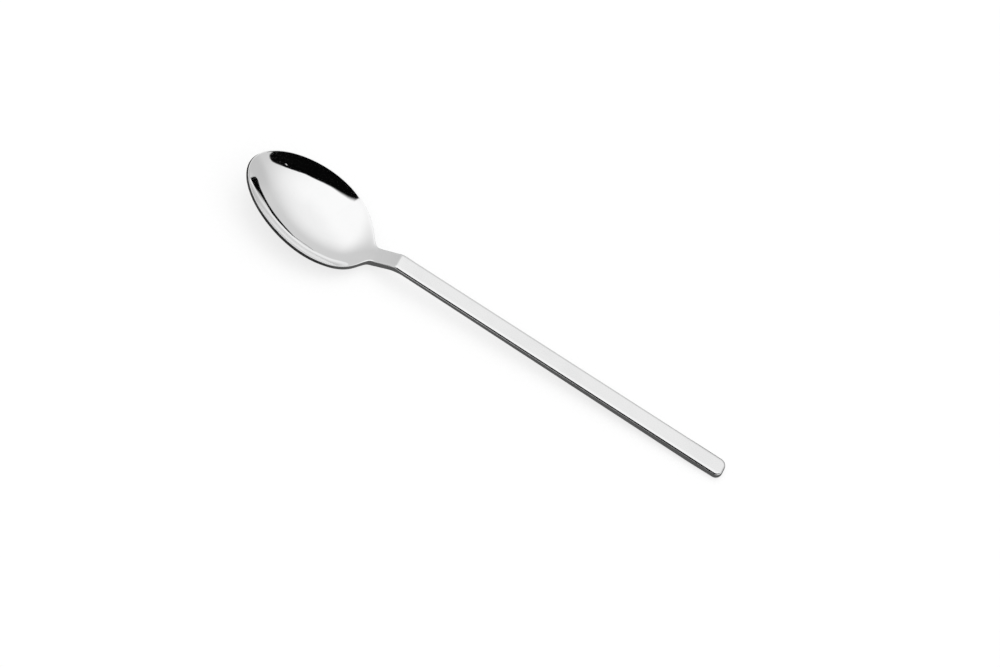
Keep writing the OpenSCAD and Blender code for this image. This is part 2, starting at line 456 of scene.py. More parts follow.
def number_points(mesh, label, values):
    """A named number on every point of a mesh."""
    numbers = mesh.attributes.new(label, "FLOAT", "POINT")
    numbers.data.foreach_set("value", values.astype(np.float32))


def show(name, data):
    """An object in the scene that holds a mesh, a lamp or a camera."""
    made = bpy.data.objects.new(name, data)
    bpy.context.scene.collection.objects.link(made)
    return made


def make_piece(name, points, normals, number, faces):
    mesh = bpy.data.meshes.new(name)
    mesh.from_pydata(points.tolist(), [], faces, shade_flat=False)
    work = bmesh.new()
    work.from_mesh(mesh)
    bmesh.ops.recalc_face_normals(work, faces=work.faces)
    open_edges = sum(not e.is_manifold for e in work.edges)
    volume = work.calc_volume()
    work.to_mesh(mesh)
    work.free()
    number_points(mesh, "edge_number", number)
    mesh.normals_split_custom_set_from_vertices(normals.tolist())
    print(name, len(points), "points", len(faces), "faces", open_edges, "open edges")
    print(name, "volume", round(volume / MM**3, 1), "mm3")
    return show(name, mesh)


# %% [markdown]
# ## The bowl
# The bowl is one dish with a lip. Its outline runs from the cut on one side, round the tip, to the
# cut on the other side, with points crowded at the tip, where it turns most. Rings shrink from the
# outline to the middle, above and below, and the lip joins them.

# %% The bowl's outline and rings
BOWL_STEPS, RINGS, ACROSS = 300, 40, 16
MIDDLE_SHARE = 0.55
bowl_middle = np.array([MIDDLE_SHARE * bowl_length, 0.0])


def bowl_outline(u):
    s = bowl_cut * (1.0 - np.cos(np.abs(u) * math.pi / 2))
    return np.column_stack([s, np.sign(u) * half_width(s)])


def cut_row(s, rounding):
    """Points across the spoon at a cut, from one edge's start to the other's, on the +Y side first."""
    reach = float(half_width(np.array(s))) - float(rounding(np.array(s)))
    return np.column_stack([np.full(ACROSS + 1, s), np.linspace(reach, -reach, ACROSS + 1)])


def bowl_rings(rim_start, rounding, height, up):
    loop = np.concatenate([rim_start[:, :2], cut_row(bowl_cut, rounding)[1:]])
    share = np.linspace(0.0, 1.0, RINGS + 1)[:, None, None]
    return on_face(bowl_middle + share * (loop - bowl_middle), height, up)


def cut_grids(edges, s):
    """The hidden face at a cut: the middle strip, and a fan behind each rounded edge."""
    upper, lower = cut_row(s, upper_round), cut_row(s, lower_round)
    top = np.column_stack([upper, top_z(*upper.T)])
    low = np.column_stack([lower, under_z(*lower.T)])
    fans = [on_cut(np.repeat(e[:1], len(e), 0), e) for e in edges]
    return [on_cut(top, low)] + fans


bowl_edge, bowl_facing = edge_grid(bowl_outline, np.linspace(-1.0, 1.0, BOWL_STEPS + 1))
bowl_grids = [
    bowl_rings(bowl_edge[0], upper_round, top_z, 1),
    bowl_rings(bowl_edge[-1], lower_round, under_z, -1),
    on_edge(bowl_edge, bowl_facing),
]
bowl_grids += cut_grids([bowl_edge[:, 0], bowl_edge[:, -1]], bowl_cut)
bowl = weld("bowl_skin", bowl_grids)

# %% [markdown]
# ## The neck
# The neck is strung from cross-sections. Each has the upper face, two rounded edges and the
# underside, and they lie close together so that the crease keeps its small radius.

# %% The neck's sections
NECK_STEPS = 80
MIRROR = np.array([1.0, -1.0, 1.0])
SPREAD = np.ones((ACROSS + 1, 3))
SPREAD[:, 1] = np.linspace(1.0, -1.0, ACROSS + 1)


def side_outline(s):
    return np.column_stack([s, half_width(s)])


def other_side(points, normals):
    return points * MIRROR, normals * MIRROR


def strip_grids(edge, facing):
    """Upper face, underside and both edges of a stretch whose edge on the +Y side is given."""
    upper = on_face(edge[0][:, None, :2] * SPREAD[:, :2], top_z, 1)
    lower = on_face(edge[-1][:, None, :2] * SPREAD[:, :2], under_z, -1)
    return [upper, lower, on_edge(edge, facing), on_edge(*other_side(edge, facing))]


neck_places = np.linspace(bowl_cut, bar_from, NECK_STEPS + 1)
neck_edge, neck_facing = edge_grid(side_outline, neck_places)
neck_grids = strip_grids(neck_edge, neck_facing)
for row, s in ((0, bowl_cut), (-1, bar_from)):
    far = neck_edge[:, row]
    neck_grids += cut_grids([far, far * MIRROR], s)
neck = weld("neck_skin", neck_grids)

# %% [markdown]
# ## The handle
# The handle is a flat bar with a squared end whose corners are rounded. It is a strip like the
# neck, whose outline turns through each corner in an arc. The last row lies along the end edge,
# and a rounded edge runs across there too.

# %% The handle's outline and end
BAR_STEPS, CORNER_STEPS = 60, 16
arc_from = length - end_corner


def bar_outline(u):
    """A straight run to the corner, then an arc; u is the distance along it."""
    turn = np.clip((u - arc_from) / end_corner, 0.0, None)
    s = np.where(u < arc_from, u, arc_from + end_corner * np.sin(turn))
    y = np.where(u < arc_from, half_width(u), half_end - end_corner * (1.0 - np.cos(turn)))
    return np.column_stack([s, y])


def end_edge(last, facing):
    """The rounded edge across the end, between the two corners."""
    return last[:, None, :] * SPREAD, np.repeat(facing[:, None, :], ACROSS + 1, 1)


bar_places = np.concatenate([
    np.linspace(bar_from, arc_from, BAR_STEPS + 1)[:-1],
    arc_from + end_corner * np.linspace(0.0, math.pi / 2, CORNER_STEPS + 1),
])
bar_edge, bar_facing = edge_grid(bar_outline, bar_places)
handle_grids = strip_grids(bar_edge, bar_facing)
handle_grids.append(on_edge(*end_edge(bar_edge[:, -1], bar_facing[:, -1])))
near_cut = bar_edge[:, 0]
handle_grids += cut_grids([near_cut, near_cut * MIRROR], bar_from)
handle = weld("handle_skin", handle_grids)

# %% [markdown]
# ## Building finishes from nodes
# The steel is the same all over, but its polish isn't: the bowl is buffed to a mirror, and the
# handle is left a shade softer, with faint lines along its length. Those effects are made once,
# as node groups with named inputs, and each finish places them with its own values.

# %% Helpers for nodes
def add(tree, kind, inputs=None, **settings):
    """A node with its settings, and inputs that are either linked or set."""
    made = tree.nodes.new(kind)
    for name, value in settings.items():
        setattr(made, name, value)
    for name, value in (inputs or {}).items():
        if isinstance(value, bpy.types.NodeSocket):
            tree.links.new(value, made.inputs[name])
        else:
            made.inputs[name].default_value = value
    return made


def math_node(tree, operation, a, b=0.0, c=0.0, clamp=False):
    return add(tree, "ShaderNodeMath", {0: a, 1: b, 2: c}, operation=operation, use_clamp=clamp).outputs[0]


def remap(tree, value, low, high, to_low=0.0, to_high=1.0):
    ends = {"Value": value, "From Min": low, "From Max": high, "To Min": to_low, "To Max": to_high}
    return add(tree, "ShaderNodeMapRange", ends, interpolation_type="SMOOTHSTEP").outputs["Result"]


def new_group(name, inputs, output):
    """An empty group with a vector called Place, some numbers and one number out."""
    group = bpy.data.node_groups.new(name, "ShaderNodeTree")
    group.interface.new_socket("Place", in_out="INPUT", socket_type="NodeSocketVector")
    for label, value in inputs.items():
        socket = group.interface.new_socket(label, in_out="INPUT", socket_type="NodeSocketFloat")
        socket.default_value = value
    group.interface.new_socket(output, in_out="OUTPUT", socket_type="NodeSocketFloat")
    return group, group.nodes.new("NodeGroupInput").outputs, group.nodes.new("NodeGroupOutput").inputs


print("node helpers ready")

# %% [markdown]
# ### Buffing lines
# A buffing wheel leaves fine lines that run along the spoon. Noise that is stretched a hundredfold
# along the length looks like them. The spacing and the length of the lines are inputs, in metres.

# %% Group: buffing lines
lines_group, given, result = new_group("buffing_lines", {"Spacing": 0.0004, "Run": 0.03}, "Height")
parts = add(lines_group, "ShaderNodeSeparateXYZ", {0: given["Place"]}).outputs
squeezed = add(lines_group, "ShaderNodeCombineXYZ", {
    0: math_node(lines_group, "DIVIDE", parts[0], given["Run"]),
    1: math_node(lines_group, "DIVIDE", parts[1], given["Spacing"]),
    2: math_node(lines_group, "DIVIDE", parts[2], given["Spacing"]),
}).outputs[0]
streaks = add(lines_group, "ShaderNodeTexNoise", {
    "Vector": squeezed, "Scale": 1.0, "Detail": 4.0, "Roughness": 0.65,
})
lines_group.links.new(streaks.outputs["Fac"], result["Height"])
print("group:", lines_group.name)

# %% [markdown]
# ### Wiping marks
# A cloth leaves soft cloudy patches where the polish is a little duller. They are wide noise,
# bent by itself, with the middle tones spread out.

# %% Group: wiping marks
MARK_LIMITS = (0.38, 0.68)
wipe_group, given, result = new_group("wiping_marks", {"Size": 0.012}, "Mark")
scale = math_node(wipe_group, "DIVIDE", 1.0, given["Size"])
cloud = add(wipe_group, "ShaderNodeTexNoise", {
    "Vector": given["Place"], "Scale": scale, "Detail": 3.0, "Roughness": 0.55, "Distortion": 0.8,
})
wipe_group.links.new(remap(wipe_group, cloud.outputs["Fac"], *MARK_LIMITS), result["Mark"])
print("group:", wipe_group.name)

# %% [markdown]
# ### Hairline scratches
# Cutlery rubs against cutlery, which leaves a few hairlines in all directions. The borders of
# long, thin random cells are such lines, and a second noise breaks them into short strokes.

# %% Group: hairline scratches
HAIR_STRETCH, HAIR_WIDTH, STROKE_LIMITS = (0.22, 1.6, 0.7), 0.02, (0.5, 0.64)
hair_group, given, result = new_group("hairline_scratches", {"Size": 0.006, "Turn": 0.6}, "Scratch")
turning = {"Vector": given["Place"], "Angle": given["Turn"]}
turned = add(hair_group, "ShaderNodeVectorRotate", turning).outputs[0]
scale = math_node(hair_group, "DIVIDE", 1.0, given["Size"])
sized = add(hair_group, "ShaderNodeVectorMath", {0: turned, "Scale": scale}, operation="SCALE").outputs[0]
thin = add(hair_group, "ShaderNodeVectorMath", {0: sized, 1: HAIR_STRETCH}, operation="MULTIPLY").outputs[0]
cells = add(hair_group, "ShaderNodeTexVoronoi", {"Vector": thin, "Scale": 1.0}, feature="DISTANCE_TO_EDGE")
line = remap(hair_group, cells.outputs["Distance"], 0.0, HAIR_WIDTH, 1.0, 0.0)
breaks = add(hair_group, "ShaderNodeTexNoise", {"Vector": sized, "Scale": 0.9, "Detail": 2.0})
stroke = remap(hair_group, breaks.outputs["Fac"], *STROKE_LIMITS)
hair_group.links.new(math_node(hair_group, "MULTIPLY", line, stroke), result["Scratch"])
print("group:", hair_group.name)

# %% [markdown]
# ### Rubbed edges
# Edges are touched and rubbed most, so their polish is uneven. The edge number of the mesh is
# broken up with fine noise, so that the rubbing shows as small patches and not as a painted line.

# %% Group: rubbed edges
PATCH_LIMITS = (0.42, 0.62)
rub_group, given, result = new_group("rubbed_edges", {"Edge": 0.0, "Grain": 0.0015}, "Rub")
scale = math_node(rub_group, "DIVIDE", 1.0, given["Grain"])
specks = add(rub_group, "ShaderNodeTexNoise", {
    "Vector": given["Place"], "Scale": scale, "Detail": 5.0, "Roughness": 0.7,
})
patch = remap(rub_group, specks.outputs["Fac"], *PATCH_LIMITS)
rub_group.links.new(math_node(rub_group, "MULTIPLY", patch, given["Edge"]), result["Rub"])
print("group:", rub_group.name)

# %% [markdown]
# ### Change of polish
# The bowl is buffed to a mirror, and the bar is left a shade softer and greyer. On one piece of
# metal that change has no border: it happens gradually along the neck. This group gives 0 in the
# bowl, 1 on the bar, and a soft step between the two places that are its inputs, in metres.

# %% Group: change of polish
change_group, given, result = new_group("polish_change", {"From": -0.046, "To": -0.030}, "Share")
lengthwise = add(change_group, "ShaderNodeSeparateXYZ", {0: given["Place"]}).outputs["X"]
change_group.links.new(remap(change_group, lengthwise, given["From"], given["To"]), result["Share"])
print("group:", change_group.name)

# %% [markdown]
# ## The finishes
# A finish puts the groups together. The colour of the steel varies slightly between a light and a
# shaded tone. Roughness starts low and rises in the lines, marks, scratches and rubbed edges. Both
# are worked out for the bowl's polish and for the bar's, and the change of polish mixes them. The
# bar's edges keep most of the bowl's polish, because the wheel presses hardest there.

# %% Values of the two polishes
BOWL_TONES = ((0.885, 0.885, 0.885), (0.855, 0.856, 0.858))
BAR_TONES = ((0.80, 0.80, 0.80), (0.765, 0.766, 0.768))
# Roughness of clean metal, and what lines, marks, scratches and rubbed edges add to it
BOWL_ROUGH = (0.025, 0.02, 0.02, 0.10, 0.05)
BAR_ROUGH = (0.085, 0.06, 0.05, 0.10, 0.06)
BUMP_STRENGTH, BUMP_DISTANCE, LINE_BUMP = 0.06, 0.0004, 0.02
MARK_TONE, LINE_TONE = 0.5, 0.5
EDGE_POLISH = 0.8
print("bowl", BOWL_TONES[0], "bar", BAR_TONES[0])

# %% [markdown]
# Three helpers do what every finish repeats: mix two colours, place a group with its inputs, and add
# up the roughness that the effects bring.

# %% Helpers for finishes
def mix_tones(tree, share, a, b):
    """A mix of two colours, each a socket or three numbers."""
    made = add(tree, "ShaderNodeMix", {"Factor": share}, data_type="RGBA")
    ends = [socket for socket in made.inputs if socket.type == "RGBA"]
    for end, value in zip(ends, (a, b)):
        if isinstance(value, bpy.types.NodeSocket):
            tree.links.new(value, end)
        else:
            end.default_value = (*value, 1.0)
    return [socket for socket in made.outputs if socket.type == "RGBA"][0]


def place_effect(tree, place, group, **values):
    """One of the groups above, with its inputs linked or set."""
    return add(tree, "ShaderNodeGroup", {"Place": place, **values}, node_tree=group).outputs[0]


def worn(tree, rough, effects):
    """Roughness of clean metal plus the share of every effect."""
    total = math_node(tree, "MULTIPLY_ADD", effects[0], rough[1], rough[0])
    for value, share in zip(effects[1:], rough[2:]):
        total = math_node(tree, "MULTIPLY_ADD", value, share, total)
    return total


print("roughness from", BOWL_ROUGH[0], "to", round(sum(BAR_ROUGH), 3))

# %% [markdown]
# A very faint bump from the lines and from a slow wave of the metal keeps the reflections alive, as
# they are in pressed metal. Metallic is the same all over, so it is set on the shader itself. One
# function makes the finish, because the pieces differ only in the sizes of the effects.

# %% Make a steel finish
def steel(name, lines, marks, scratches, wave):
    """A finish whose lines, marks, scratches and slow wave have the sizes given, in metres."""
    material = bpy.data.materials.new(name)
    material.use_nodes = True
    tree = material.node_tree
    shader = tree.nodes["Principled BSDF"]
    shader.inputs["Metallic"].default_value = 1.0
    place = add(tree, "ShaderNodeTexCoord").outputs["Object"]
    edge = add(tree, "ShaderNodeAttribute", attribute_name="edge_number").outputs["Fac"]
    line = place_effect(tree, place, lines_group, **lines)
    mark = place_effect(tree, place, wipe_group, Size=marks)
    scratch = place_effect(tree, place, hair_group, Size=scratches)
    rub = place_effect(tree, place, rub_group, Edge=edge)
    flat = math_node(tree, "MULTIPLY_ADD", edge, -EDGE_POLISH, 1.0)
    share = math_node(tree, "MULTIPLY", place_effect(tree, place, change_group), flat)
    effects = (line, mark, scratch, rub)
    both = {0: share, 2: worn(tree, BOWL_ROUGH, effects), 3: worn(tree, BAR_ROUGH, effects)}
    tree.links.new(add(tree, "ShaderNodeMix", both).outputs[0], shader.inputs["Roughness"])
    shade = math_node(tree, "MULTIPLY_ADD", mark, MARK_TONE, math_node(tree, "MULTIPLY", line, LINE_TONE))
    tones = [mix_tones(tree, shade, *pair) for pair in (BOWL_TONES, BAR_TONES)]
    tree.links.new(mix_tones(tree, share, *tones), shader.inputs["Base Color"])
    slow_wave = {"Vector": place, "Scale": 1.0 / wave, "Detail": 1.0}
    slow = add(tree, "ShaderNodeTexNoise", slow_wave).outputs["Fac"]
    height = math_node(tree, "MULTIPLY_ADD", line, LINE_BUMP, slow)
    relief = {"Height": height, "Strength": BUMP_STRENGTH, "Distance": BUMP_DISTANCE}
    bump = add(tree, "ShaderNodeBump", relief)
    tree.links.new(bump.outputs["Normal"], shader.inputs["Normal"])
    print("finish:", name, len(tree.nodes), "nodes")
    return material


# %% [markdown]
# ### Three finishes
# The lines are shortest in the bowl, where the wheel follows the curve. Along the bar they are
# closer and longer, because a bar is buffed along its whole length in one pass.

# %% Bowl, neck and handle finishes
BOWL_LINES = {"Spacing": 0.0006, "Run": 0.02}
NECK_LINES = {"Spacing": 0.0005, "Run": 0.03}
BAR_LINES = {"Spacing": 0.0004, "Run": 0.05}
bowl_polish = steel("bowl_mirror_polish", BOWL_LINES, marks=0.011, scratches=0.007, wave=0.008)
neck_polish = steel("neck_polish", NECK_LINES, marks=0.009, scratches=0.006, wave=0.008)
handle_polish = steel("handle_soft_polish", BAR_LINES, marks=0.010, scratches=0.006, wave=0.012)
for piece, finish in ((bowl, bowl_polish), (neck, neck_polish), (handle, handle_polish)):
    piece.data.materials.append(finish)
    print(piece.name, "is finished in", finish.name)

# %% [markdown]
# ## The table
# The spoon lies on a plain white table. The camera sees the table almost white, with the spoon's
# soft shadow. The steel sees a painted shade instead: close to the spoon the table is painted dark
# for the steel, which draws the dark lines along the sides of real cutlery. The lamp stands behind
# the spoon, so behind the bar the painted shade is mostly lifted again, as painted light. A number
# on the table's points holds this painted shade. From below, the table isn't drawn, so the
# underside can be seen.

# %% The shade on the table
# Painted shade: how far the dark that the steel sees on the table reaches, and the painted light behind the
# bar
PAINTED_SHADE_FULL, PAINTED_SHADE_END = 14.0, 60.0
BAR_PAINTED_SHADE, BAR_PAINTED_SHADE_FROM, BAR_PAINTED_SHADE_RUN = 0.82, 36.0, 12.0
PAINTED_LIT_FROM, PAINTED_LIT_TO, PAINTED_LIT_RUN, PAINTED_LIT_SHARE, PAINTED_LIT_BEHIND_RUN = 58.0, 178.0, 8.0, 0.7, 3.0


def painted_shade_at(x, y):
    """Painted shade that the steel sees: 1 close to the bowl, less in front of the bar, least behind it,
    and 0 away from the spoon.
    """
    s = x / MM - tip_x
    side = np.maximum(np.abs(y) / MM - half_width(np.clip(s, 0.0, length)), 0.0)
    past = np.maximum(np.maximum(-s, s - length), 0.0)
    deepest_painted_shade = 1.0 - (1.0 - BAR_PAINTED_SHADE) * ease((s - BAR_PAINTED_SHADE_FROM) / BAR_PAINTED_SHADE_RUN)
    behind = np.where(y > 0.0, ease(side / PAINTED_LIT_BEHIND_RUN), 0.0)
    lit = PAINTED_LIT_SHARE * behind * ease((s - PAINTED_LIT_FROM) / PAINTED_LIT_RUN) * ease((PAINTED_LIT_TO - s) / PAINTED_LIT_RUN)
    near = 1.0 - ease((np.hypot(side, past) - PAINTED_SHADE_FULL) / (PAINTED_SHADE_END - PAINTED_SHADE_FULL))
    return deepest_painted_shade * near * (1.0 - lit)


print("shade in front of and behind the bar:", painted_shade_at(np.array([0.03, 0.03]), np.array([-0.01, 0.01])))

# %% [markdown]
# The table top is one grid whose points crowd around the spoon, where the painted shade changes fastest.

# %% The table top
TABLE_HALF, TABLE_STEPS, CROWDING, CROWD_POWER = 1.5, 220, 0.08, 5


def table_places():
    """Places from edge to edge that crowd around the spoon."""
    share = np.linspace(-1.0, 1.0, TABLE_STEPS + 1)
    return TABLE_HALF * (CROWDING * share + (1.0 - CROWDING) * share**CROWD_POWER)


grid_x, grid_y = np.meshgrid(table_places(), table_places(), indexing="ij")
corners = np.column_stack([grid_x.ravel(), grid_y.ravel(), np.zeros(grid_x.size)])
order = np.arange(grid_x.size).reshape(grid_x.shape)
table_mesh = bpy.data.meshes.new("table_top")
table_mesh.from_pydata(corners.tolist(), [], square_faces(order))
painted_shade_values = painted_shade_at(corners[:, 0], corners[:, 1])
# The painted shade is kept on the table's points as a number named shade
number_points(table_mesh, "shade", painted_shade_values)
table = show("table_top", table_mesh)
print("table", 2 * TABLE_HALF, "m wide, shaded places:", int((painted_shade_values > 0.5).sum()))

# %% [markdown]
# The table's finish has three parts: a matt white board for the light, a little white added for
# the camera, and a painted light and painted shade that only the steel mirrors, set as a glow.

# %% The table's finish
BOARD_WHITE, FIBRE_DEPTH, CAMERA_LIFT = 0.3, 0.01, 0.735
# Painted light and painted shade: the glow of the table for the steel, away from the spoon and close to it
PAINTED_LIT_TABLE, PAINTED_SHADED_TABLE = 0.9, 0.03
NOISE_LIMITS = (0.3, 0.7)


def bare_material(name):
    """A material with nothing but its output, and its node tree."""
    material = bpy.data.materials.new(name)
    material.use_nodes = True
    tree = material.node_tree
    tree.nodes.remove(tree.nodes["Principled BSDF"])
    return material, tree


def set_surface(tree, shader):
    tree.links.new(shader, tree.nodes["Material Output"].inputs["Surface"])


def table_finish():
    material, tree = bare_material("white_board_and_painted_shade")
    path = add(tree, "ShaderNodeLightPath").outputs
    place = add(tree, "ShaderNodeTexCoord").outputs["Object"]
    fibre = add(tree, "ShaderNodeTexNoise", {"Vector": place, "Scale": 900.0, "Detail": 3.0}).outputs["Fac"]
    white = remap(tree, fibre, *NOISE_LIMITS, BOARD_WHITE - FIBRE_DEPTH, BOARD_WHITE + FIBRE_DEPTH)
    board = add(tree, "ShaderNodeBsdfDiffuse", {"Color": white}).outputs[0]
    lift = add(tree, "ShaderNodeEmission", {"Strength": CAMERA_LIFT}).outputs[0]
    seen = add(tree, "ShaderNodeAddShader", {0: board, 1: lift}).outputs[0]
    camera = add(tree, "ShaderNodeMixShader", {0: path["Is Camera Ray"], 1: board, 2: seen}).outputs[0]
    # The steel sees a painted glow: bright away from the spoon, painted dark where the number of painted
    # shade is high
    shade = add(tree, "ShaderNodeAttribute", attribute_name="shade").outputs["Fac"]
    painted_table_tone = remap(tree, shade, 0.0, 1.0, PAINTED_LIT_TABLE, PAINTED_SHADED_TABLE)
    painted_table_for_steel = add(tree, "ShaderNodeEmission", {"Strength": painted_table_tone}).outputs[0]
    shiny = math_node(tree, "MAXIMUM", path["Is Glossy Ray"], path["Is Transmission Ray"])
    both = add(tree, "ShaderNodeMixShader", {0: shiny, 1: camera, 2: painted_table_for_steel}).outputs[0]
    below = add(tree, "ShaderNodeNewGeometry").outputs["Backfacing"]
    clear = add(tree, "ShaderNodeBsdfTransparent").outputs[0]
    final = add(tree, "ShaderNodeMixShader", {0: below, 1: both, 2: clear}).outputs[0]
    set_surface(tree, final)
    return material


table.data.materials.append(table_finish())
print("table finish:", table.data.materials[0].name)

# %% [markdown]
# ## The studio
# Mirror steel has no look of its own: it shows the studio. The world is plain white for the
# camera. For the steel it is a white tent that is brightest overhead and greyer near the horizon,
# which models the form of the bowl. The tent is lit a little further down in front, it is greyer on
# the left, and so is its low corner behind on the right, which the tip of the bowl mirrors.
# Everything else is lit evenly.

# %% The white tent
EVEN_LIGHT, TENT_LOW, TENT_HIGH, TENT_LIMITS = 0.8, 0.7, 1.09, (0.42, 0.9)
FRONT_LIFT, FRONT_LIMITS = 0.05, (0.0, -0.5)
LEFT_WALL, LEFT_DROP, LEFT_DIM, LEFT_LIMITS = (-0.996, 0.087, 0.0), 0.2, 0.05, (0.2, 0.7)
BACK_CORNER, CORNER_DIM, CORNER_LIMITS = (0.778, 0.586, 0.225), 0.13, (0.93, 0.99)
world = bpy.data.worlds.new("white_tent")
bpy.context.scene.world = world
world.use_nodes = True
sky = world.node_tree
path = add(sky, "ShaderNodeLightPath").outputs
toward = add(sky, "ShaderNodeTexCoord").outputs["Generated"]
axes = add(sky, "ShaderNodeSeparateXYZ", {0: toward}).outputs
along_left = add(sky, "ShaderNodeVectorMath", {0: toward, 1: LEFT_WALL}, operation="DOT_PRODUCT")
left = remap(sky, along_left.outputs["Value"], *LEFT_LIMITS)
front = remap(sky, axes["Y"], *FRONT_LIMITS)
height = math_node(sky, "MULTIPLY_ADD", front, FRONT_LIFT, axes["Z"])
height = math_node(sky, "MULTIPLY_ADD", left, -LEFT_DROP, height)
tent = remap(sky, height, *TENT_LIMITS, TENT_LOW, TENT_HIGH)
tent = math_node(sky, "MULTIPLY", tent, math_node(sky, "MULTIPLY_ADD", left, -LEFT_DIM, 1.0))
along_corner = add(sky, "ShaderNodeVectorMath", {0: toward, 1: BACK_CORNER}, operation="DOT_PRODUCT")
in_corner = remap(sky, along_corner.outputs["Value"], *CORNER_LIMITS)
tent = math_node(sky, "MULTIPLY", tent, math_node(sky, "MULTIPLY_ADD", in_corner, -CORNER_DIM, 1.0))
for_steel = add(sky, "ShaderNodeMix", {0: path["Is Glossy Ray"], 2: EVEN_LIGHT, 3: tent}).outputs[0]
straight = math_node(sky, "MAXIMUM", path["Is Camera Ray"], path["Is Transmission Ray"])
strength = add(sky, "ShaderNodeMix", {0: straight, 2: for_steel, 3: 1.0}).outputs[0]
sky.links.new(strength, sky.nodes["Background"].inputs["Strength"])
sky.nodes["Background"].inputs["Color"].default_value = (1.0, 1.0, 1.0, 1.0)
print("tent from", TENT_LOW, "to", TENT_HIGH)

# %% [markdown]
# ### Black cards
# A photographer sets black cards around shiny metal, so that it shows crisp dark shapes and
# doesn't melt into the white. One long card stands in front and to the right, below the edge of the
# tent: the far wall of the bowl mirrors it. A low strip stands far behind on the right: the near
# wall mirrors that as a thin streak. Only the steel sees the cards.

# %% Cards of black felt
CARD_DISTANCE, CARD_CENTRE_HEIGHT, BORDER_STEPS = 1.2, 9.0, 11
card_centre = Vector((tip_x + bowl_middle[0], 0.0, CARD_CENTRE_HEIGHT)) * MM


def direction(azimuth, elevation):
    """A direction from the spoon: azimuth 0 is toward the camera's side, 90 toward the handle."""
    a, e = np.radians(azimuth), np.radians(elevation)
    return np.stack([np.sin(a) * np.cos(e), -np.cos(a) * np.cos(e), np.sin(e)], -1)


def only_steel_sees(thing):
    thing.visible_camera = False
    thing.visible_diffuse = False
    thing.visible_shadow = False
    thing.visible_transmission = False


def black_card(name, turn, foot, top, soft=0.5, thin=0.0):
    """A curved card between two elevations, with an upper border that fades over some degrees.

    Thin felt fades everywhere.
    """
    share = np.linspace(-1.0, 1.0, BORDER_STEPS)[:, None]
    raised = np.concatenate([foot[None, :], np.maximum(top + soft * share, foot)])
    points = np.array(card_centre) + CARD_DISTANCE * direction(turn, raised)
    solid = np.zeros_like(foot)
    fade = np.concatenate([solid[None, :], ease((share + 1.0) / 2.0) + solid])
    fade = 1.0 - (1.0 - fade) * (1.0 - thin)
    index = np.arange(fade.size).reshape(fade.shape)
    mesh = bpy.data.meshes.new(name)
    mesh.from_pydata(points.reshape(-1, 3).tolist(), [], square_faces(index))
    number_points(mesh, "fade", fade.ravel())
    card = show(name, mesh)
    only_steel_sees(card)
    print(name, "spans", turn[0], "to", turn[-1], "degrees")
    return card


# %% [markdown]
# The front card is cut in a curve. It is highest straight in front, where its border hangs loose
# and is soft, and it comes down to a rounded end on the right. Further left it is low.

# %% The front card
FRONT_STEPS = 264
FRONT_TOP = {
    -28: 36, -14: 40, -12: 47, -10.5: 52, -9: 54.6, -3: 57.9, 3: 59.5, 9: 59.9, 15: 60.4, 21: 60.6,
    27: 60.3, 33: 59.5, 39: 58.8, 45: 58.5, 51: 57.9, 57: 57.3, 63: 56.1, 69: 54.3, 73.5: 52.2,
    76.5: 51.2, 79.5: 50.2, 82.5: 49.4, 85.5: 48, 88.5: 46.6, 91.5: 44.8, 94.5: 42.8, 97.5: 40.2,
    100.5: 37.7, 102.5: 35.6, 103.5: 33.8,
}
FRONT_FOOT = {
    -28: -0.4, 20: -0.4, 55: 20, 72: 28.5, 82: 30.4, 97.5: 30.4, 100.5: 31.2, 102.5: 32.4, 103.5: 33.8,
}
FRONT_SOFT = {
    -28: 1, -14: 1, -9: 4.5, 3: 3.6, 15: 3, 27: 2.6, 39: 1.6, 51: 1.1, 63: 0.9, 75: 0.6, 103.5: 0.4,
}


def card_turns(rows, count):
    """Evenly spaced azimuths from the first row of a list to its last."""
    return np.linspace(min(rows), max(rows), count)


def along_card(turn, rows):
    """Values at azimuths between the rows of a list."""
    return np.interp(turn, list(rows), list(rows.values()))


front_turn = card_turns(FRONT_TOP, FRONT_STEPS)
front_card = black_card(
    "front_card", front_turn, along_card(front_turn, FRONT_FOOT), along_card(front_turn, FRONT_TOP),
    along_card(front_turn, FRONT_SOFT),
)

# %% [markdown]
# The strip behind is tall at its near end and then runs on as a low band that thins out.

# %% The strip behind
BACK_STEPS, BACK_SOFT = 362, 0.3
BACK_TOP = {
    139.9: 13.2, 140.4: 14.2, 141.5: 14, 142.5: 13.7, 143.5: 13.3, 144.5: 12.8, 146: 12, 148.5: 11.8,
    150.5: 11.3, 152: 10.9, 154.5: 10.5, 157: 10.2, 159.5: 10.3, 160.5: 10.3, 161.5: 10.2, 163: 10,
    164.5: 9.5, 165.2: 9, 166: 8.3, 167: 8.2, 168: 9, 169: 10.1, 170.5: 10.9, 172: 10.6, 173.5: 9.3,
    175: 7.6, 176: 7,
}
BACK_FOOT = {
    139.9: 13, 140.4: 11.4, 141.5: 9.3, 142.5: 7.8, 143.5: 5.8, 144.5: 4.6, 145.5: 2.8, 146.5: 1.3,
    147.2: -0.4, 150.6: -0.4, 151.6: 4.6, 154.5: 5, 156.5: 4.4, 158.5: 3.5, 160.5: 1.5, 162: -0.4,
    165.2: -0.4, 166: 2.5, 167: 5.5, 168: 7.6, 169: 9, 170.5: 9.8, 172: 9.6, 173.5: 8.2, 175: 6.7,
    176: 6.8,
}
back_turn = card_turns(BACK_TOP, BACK_STEPS)
back_foot = along_card(back_turn, BACK_FOOT)
back_strip = black_card("back_strip", back_turn, back_foot, along_card(back_turn, BACK_TOP), BACK_SOFT)

# %% [markdown]
# Below the band hangs a short piece of thin felt, which lets more and more light through. A plain
# low strip on the left gives the lip its dark line there.

